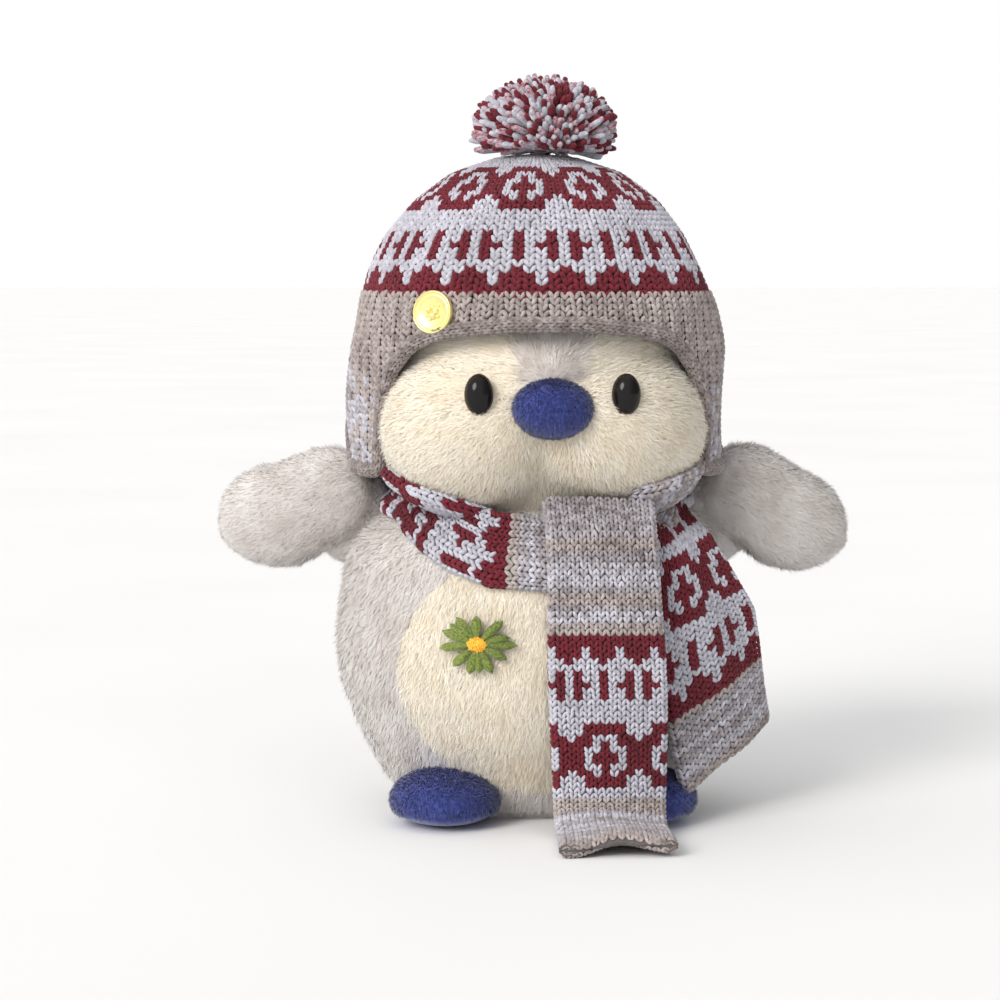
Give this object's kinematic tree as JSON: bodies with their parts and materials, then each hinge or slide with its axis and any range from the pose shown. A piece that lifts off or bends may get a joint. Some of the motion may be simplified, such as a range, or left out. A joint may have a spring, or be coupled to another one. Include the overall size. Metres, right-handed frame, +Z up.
{
  "type": "plush penguin",
  "caption": "Soft stuffed penguin with a round fur body, padded flippers, blue beak and feet, a knitted ear-flap hat with a pompom, and a patterned knitted scarf.",
  "frame": {"origin": "centre of the flat base that the toy stands on", "axes": "+Z up, the toy faces -Y, +X is on the viewer's right when facing it"},
  "size_m": [0.2286, 0.1684, 0.269],
  "materials": {
    "grey_fur": "long soft polyester plush pile",
    "cream_fur": "long soft polyester plush pile",
    "blue_plush": "short velour pile",
    "fibre_fill": "loose polyester fibre",
    "pellet_cloth": "plain woven bag of pellets",
    "eye_plastic": "polished",
    "washer_plastic": "moulded",
    "petal_thread": "satin stitch embroidery",
    "heart_thread": "satin stitch embroidery",
    "label_satin": "blank satin ribbon",
    "patterned_knit": "two-colour knitted yarn",
    "grey_knit": "melange knitted yarn",
    "pompom_yarn": "cut yarn ends",
    "white_yarn": "twisted yarn",
    "gold_metal": "satin, pale gold"
  },
  "bodies": {
    "toy": {"body_skin": "grey_fur", "belly_panel": "cream_fur", "base_panel": "grey_fur", "pellet_bag": "pellet_cloth", "body_stuffing": "fibre_fill", "foot_left": "blue_plush", "foot_right": "blue_plush", "sole_left": "blue_plush", "sole_right": "blue_plush", "foot_stuffing_left": "fibre_fill", "foot_stuffing_right": "fibre_fill", "cheek_panel_left": "cream_fur", "cheek_panel_right": "cream_fur", "eye_left": "eye_plastic", "eye_right": "eye_plastic", "eye_washer_left": "washer_plastic", "eye_washer_right": "washer_plastic", "forehead_gusset": "grey_fur", "head_skin": "grey_fur", "head_stuffing": "fibre_fill", "beak": "blue_plush", "beak_stuffing": "fibre_fill", "daisy_petals": "petal_thread", "daisy_centre": "heart_thread", "care_label": "label_satin", "scarf_wrap": "patterned_knit"},
    "wing_left": {"wing_left": "grey_fur", "wing_stuffing_left": "fibre_fill"},
    "wing_right": {"wing_right": "grey_fur", "wing_stuffing_right": "fibre_fill"},
    "hat": {"hat_crown": "patterned_knit", "hat_band": "grey_knit", "hat_button": "gold_metal", "ear_flap_left": "grey_knit", "ear_flap_right": "grey_knit"},
    "pompom": {"pompom": "pompom_yarn", "pompom_tie": "white_yarn"},
    "scarf_front_tail": {"scarf_front_tail": "patterned_knit"},
    "scarf_front_end": {"scarf_front_end": "grey_knit"},
    "scarf_side_tail": {"scarf_side_tail": "patterned_knit"}
  },
  "joints": [
    {"name": "wing_left_flap", "type": "hinge", "parent": "toy", "child": "wing_left", "pos_m": [-0.077, 0.004, 0.114], "axis": [0, 1, 0], "range_deg": [-20, 18], "stiffness_Nm_per_rad": 0.05},
    {"name": "wing_right_flap", "type": "hinge", "parent": "toy", "child": "wing_right", "pos_m": [0.077, 0.004, 0.114], "axis": [0, -1, 0], "range_deg": [-20, 18], "stiffness_Nm_per_rad": 0.05},
    {"name": "hat_lift", "type": "slide", "parent": "toy", "child": "hat", "axis": [0, 0, 1], "range_m": [0, 0.12]},
    {"name": "pompom_tilt", "type": "hinge", "parent": "hat", "child": "pompom", "pos_m": [0, 0, 0.2375], "axis": [0, 1, 0], "range_deg": [-8, 8], "stiffness_Nm_per_rad": 0.05},
    {"name": "front_tail_lift", "type": "hinge", "parent": "toy", "child": "scarf_front_tail", "pos_m": [0.0205, -0.0615, 0.11], "axis": [-1, 0, 0], "range_deg": [0, 60]},
    {"name": "front_end_unfold", "type": "hinge", "parent": "scarf_front_tail", "child": "scarf_front_end", "pos_m": [0.0205, -0.0654, 0.01], "axis": [1, 0, 0], "range_deg": [0, 90]},
    {"name": "side_tail_swing", "type": "hinge", "parent": "toy", "child": "scarf_side_tail", "pos_m": [0.042, -0.05, 0.09], "axis": [0, -1, 0], "range_deg": [0, 15]}
  ],
  "couplings": [
    {"joint": "front_end_unfold", "follows": "front_tail_lift", "ratio": 1.5}
  ]
}
